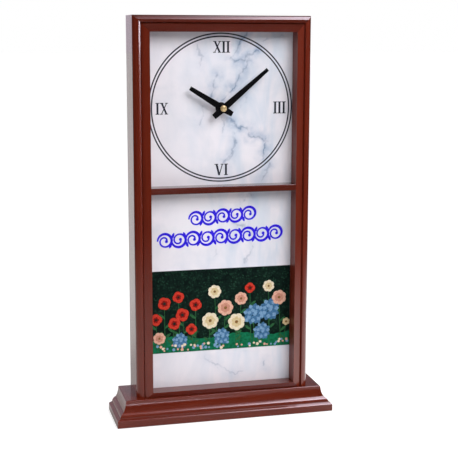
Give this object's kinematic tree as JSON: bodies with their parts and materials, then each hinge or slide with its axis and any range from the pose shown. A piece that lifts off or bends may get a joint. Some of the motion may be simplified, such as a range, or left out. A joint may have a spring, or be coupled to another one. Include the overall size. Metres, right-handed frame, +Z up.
{
  "type": "display frame mantel clock",
  "caption": "Tall wooden display-frame clock: moulded frame on a moulded base, printed panel behind two windows, battery movement with hour and minute hands.",
  "frame": {"origin": "centre of the underside, on the surface that the clock stands on", "axes": "+Z up, the dial faces -Y, +X to the right as seen from the front"},
  "size_m": [0.231, 0.0624, 0.4152],
  "materials": {
    "frame_wood": "satin lacquer over a dark red-brown stain",
    "case_wood": "thin lacquer over a dark red-brown stain",
    "inner_wood": "sawn, unfinished",
    "felt": "short dark felt",
    "panel_face": "printed paper on board, satin",
    "black_metal": "matte black",
    "brass": "polished",
    "bush_brass": "turned",
    "steel": "zinc plated",
    "housing": "moulded black, fine texture",
    "white_plastic": "moulded natural",
    "setting_plastic": "moulded red",
    "rubber": "soft",
    "magnet": "sintered",
    "iron": "stamped",
    "copper": "enamelled copper wire",
    "board_green": "solder mask",
    "chip_black": "potted",
    "can_metal": "drawn can",
    "battery_wrap": "plain wrapped cell"
  },
  "bodies": {
    "case": {"base_front_moulding": "frame_wood", "base_left_moulding": "frame_wood", "base_right_moulding": "frame_wood", "base_core": "inner_wood", "base_felt": "felt", "base_screws": "steel", "left_stile": "frame_wood", "right_stile": "frame_wood", "top_rail": "frame_wood", "bottom_rail": "frame_wood", "mid_rail": "frame_wood", "left_side_board": "case_wood", "right_side_board": "case_wood", "top_board": "case_wood", "bottom_board": "inner_wood", "left_batten": "inner_wood", "right_batten": "inner_wood", "top_batten": "inner_wood", "batten_brads": "steel", "display_panel": "panel_face", "movement_case": "housing", "movement_cover": "housing", "shaft_bush": "bush_brass", "rubber_gasket": "rubber", "bush_washer": "black_metal", "bush_nut": "black_metal", "stator": "iron", "coil_core": "iron", "coil_bobbin": "white_plastic", "coil_winding": "copper", "circuit_board": "board_green", "quartz_crystal": "can_metal", "control_chip": "chip_black", "plus_contact": "steel", "minus_contact": "steel"},
    "minute_shaft": {"minute_arbor": "steel", "minute_hand": "black_metal", "hand_nut": "brass"},
    "hour_shaft": {"hour_wheel": "white_plastic", "hour_hand": "black_metal"},
    "motion_wheel": {"motion_wheel": "white_plastic"},
    "setting_knob": {"set_knob": "setting_plastic"},
    "centre_wheel": {"centre_wheel": "white_plastic"},
    "third_wheel": {"third_wheel": "white_plastic"},
    "seconds_wheel": {"seconds_wheel": "white_plastic"},
    "step_wheel": {"step_wheel": "white_plastic"},
    "rotor": {"rotor_pinion": "white_plastic", "rotor_magnet": "magnet"},
    "battery": {"battery": "battery_wrap"}
  },
  "joints": [
    {"name": "minute_turn", "type": "hinge", "parent": "case", "child": "minute_shaft", "pos_m": [0, 0.01815, 0.3225], "axis": [0, 1, 0], "continuous": true},
    {"name": "hour_turn", "type": "hinge", "parent": "case", "child": "hour_shaft", "pos_m": [0, 0.01815, 0.3225], "axis": [0, 1, 0], "continuous": true},
    {"name": "motion_turn", "type": "hinge", "parent": "case", "child": "motion_wheel", "pos_m": [-0.0084, 0.01815, 0.3225], "axis": [0, 1, 0], "continuous": true},
    {"name": "setting_turn", "type": "hinge", "parent": "case", "child": "setting_knob", "pos_m": [-0.0168, 0.01815, 0.3225], "axis": [0, 1, 0], "continuous": true},
    {"name": "seconds_turn", "type": "hinge", "parent": "case", "child": "seconds_wheel", "pos_m": [0.0141, 0.01815, 0.33133], "axis": [0, 1, 0], "continuous": true},
    {"name": "centre_turn", "type": "hinge", "parent": "case", "child": "centre_wheel", "pos_m": [0, 0.01815, 0.3225], "axis": [0, 1, 0], "continuous": true},
    {"name": "third_turn", "type": "hinge", "parent": "case", "child": "third_wheel", "pos_m": [0.0051, 0.01815, 0.33133], "axis": [0, 1, 0], "continuous": true},
    {"name": "step_turn", "type": "hinge", "parent": "case", "child": "step_wheel", "pos_m": [0.01596, 0.01815, 0.33829], "axis": [0, 1, 0], "continuous": true},
    {"name": "rotor_turn", "type": "hinge", "parent": "case", "child": "rotor", "pos_m": [0.01051, 0.01815, 0.34144], "axis": [0, 1, 0], "continuous": true},
    {"name": "battery_slide", "type": "slide", "parent": "case", "child": "battery", "axis": [0, 1, 0], "range_m": [0, 0.018]}
  ],
  "couplings": [
    {"joint": "motion_turn", "follows": "minute_turn", "ratio": -0.33333},
    {"joint": "hour_turn", "follows": "minute_turn", "ratio": 0.083333},
    {"joint": "setting_turn", "follows": "minute_turn", "ratio": 1},
    {"joint": "third_turn", "follows": "seconds_turn", "ratio": -0.125},
    {"joint": "centre_turn", "follows": "seconds_turn", "ratio": 0.016667},
    {"joint": "step_turn", "follows": "seconds_turn", "ratio": -5},
    {"joint": "rotor_turn", "follows": "seconds_turn", "ratio": 30}
  ]
}
